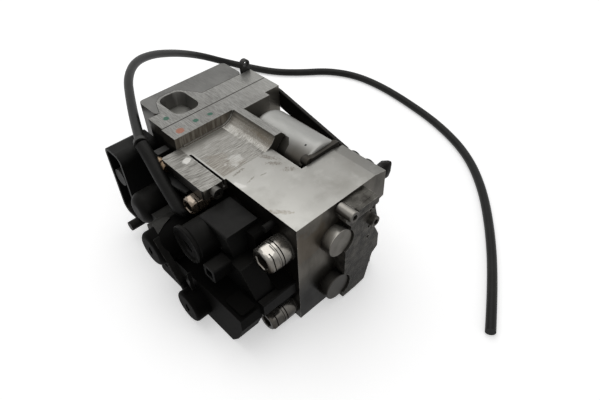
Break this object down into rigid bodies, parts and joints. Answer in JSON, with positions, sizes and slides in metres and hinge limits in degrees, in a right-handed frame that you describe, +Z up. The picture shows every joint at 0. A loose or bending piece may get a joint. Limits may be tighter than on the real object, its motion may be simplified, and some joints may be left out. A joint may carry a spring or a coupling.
{
  "type": "brake pressure modulator",
  "caption": "Machined aluminium brake modulator block with pump motor, solenoid valves, plugged line ports, electronics cover and a free rubber feed hose.",
  "frame": {"origin": "centre of the machined deck's width, half way between the front face and the cover's back, on the base face", "axes": "+Y from the bore plugs towards the rear cover, +Z up, +X from the valves towards the motor"},
  "size_m": [0.3457, 0.4499, 0.115],
  "materials": {
    "machined": "brushed",
    "plate_metal": "brushed",
    "cover_metal": "satin",
    "can_steel": "satin",
    "dark_steel": "satin",
    "steel": "satin",
    "plug_metal": "brushed",
    "nickel": "polished",
    "rough_casting": "rough cast",
    "brass": "satin",
    "copper_winding": "satin",
    "ferrite": "matte",
    "carbon": "matte",
    "board_green": "gloss",
    "black_plastic": "matte",
    "seal_rubber": "matte",
    "hose_rubber": "matte",
    "black_metal": "satin"
  },
  "bodies": {
    "housing": {"valve_block": "machined", "rear_plate": "plate_metal", "plate_gasket": "seal_rubber", "cover_gasket": "seal_rubber", "rear_cover": "cover_metal", "circuit_board": "board_green", "cover_screws": "steel", "motor_can": "can_steel", "motor_flange": "dark_steel", "motor_screws": "steel", "shaft_bearings": "brass", "motor_magnets": "ferrite", "brush_plate": "black_plastic", "motor_brushes": "carbon", "front_plunger_spring": "steel", "rear_plunger_spring": "steel", "pump_plugs": "steel", "upper_piston_spring": "steel", "lower_piston_spring": "steel", "bore_plugs": "plug_metal", "front_valve_housing": "black_plastic", "rear_valve_housing": "black_plastic", "lower_valve_housing": "black_plastic", "valve_coils": "copper_winding", "port_plugs": "nickel", "port_washers": "brass", "rail_screw": "nickel", "front_casting": "rough_casting", "casting_screw": "plug_metal", "valve_carrier": "black_plastic", "lower_shell": "black_plastic", "front_guard": "black_plastic", "wiring_box": "black_plastic", "sensor_plug": "black_plastic", "locating_peg": "black_plastic", "wiring_duct": "black_plastic", "domed_sensor": "black_plastic", "connector_shroud": "black_plastic", "connector_pins": "brass", "feed_elbow": "black_plastic", "elbow_bracket": "black_metal", "hose_clip": "black_metal", "feed_hose": "hose_rubber", "side_strap": "black_metal", "strap_screws": "black_metal", "corner_bracket": "black_metal", "rear_eyelet": "black_metal"},
    "rotor": {"pump_shaft": "steel", "motor_armature": "dark_steel", "motor_commutator": "copper_winding"},
    "front_plunger": {"front_pump_plunger": "steel"},
    "rear_plunger": {"rear_pump_plunger": "steel"},
    "upper_piston": {"upper_control_piston": "steel", "upper_piston_seal": "seal_rubber"},
    "lower_piston": {"lower_control_piston": "steel", "lower_piston_seal": "seal_rubber"},
    "front_armature": {"front_valve_armature": "steel"},
    "rear_armature": {"rear_valve_armature": "steel"},
    "lower_armature": {"lower_valve_armature": "steel"}
  },
  "joints": [
    {"name": "pump_rotor_spin", "type": "hinge", "parent": "housing", "child": "rotor", "pos_m": [0.0257, -0.04, 0.0808], "axis": [0, 1, 0], "continuous": true},
    {"name": "front_plunger_slide", "type": "slide", "parent": "housing", "child": "front_plunger", "axis": [1, 0, 0], "range_m": [0, 0.002], "stiffness_N_per_m": 3000, "springref_m": -0.001, "deforming": ["front_plunger_spring"]},
    {"name": "rear_plunger_slide", "type": "slide", "parent": "housing", "child": "rear_plunger", "axis": [1, 0, 0], "range_m": [0, 0.002], "stiffness_N_per_m": 3000, "springref_m": -0.001, "deforming": ["rear_plunger_spring"]},
    {"name": "upper_piston_slide", "type": "slide", "parent": "housing", "child": "upper_piston", "axis": [0, -1, 0], "range_m": [0, 0.01], "stiffness_N_per_m": 2000, "springref_m": -0.005, "deforming": ["upper_piston_spring"]},
    {"name": "lower_piston_slide", "type": "slide", "parent": "housing", "child": "lower_piston", "axis": [0, -1, 0], "range_m": [0, 0.01], "stiffness_N_per_m": 2000, "springref_m": -0.005, "deforming": ["lower_piston_spring"]},
    {"name": "front_armature_slide", "type": "slide", "parent": "housing", "child": "front_armature", "axis": [-1, 0, 0], "range_m": [0, 0.0006], "stiffness_N_per_m": 800, "springref_m": -0.002},
    {"name": "rear_armature_slide", "type": "slide", "parent": "housing", "child": "rear_armature", "axis": [-1, 0, 0], "range_m": [0, 0.0006], "stiffness_N_per_m": 800, "springref_m": -0.002},
    {"name": "lower_armature_slide", "type": "slide", "parent": "housing", "child": "lower_armature", "axis": [-1, 0, 0], "range_m": [0, 0.0006], "stiffness_N_per_m": 800, "springref_m": -0.002}
  ]
}
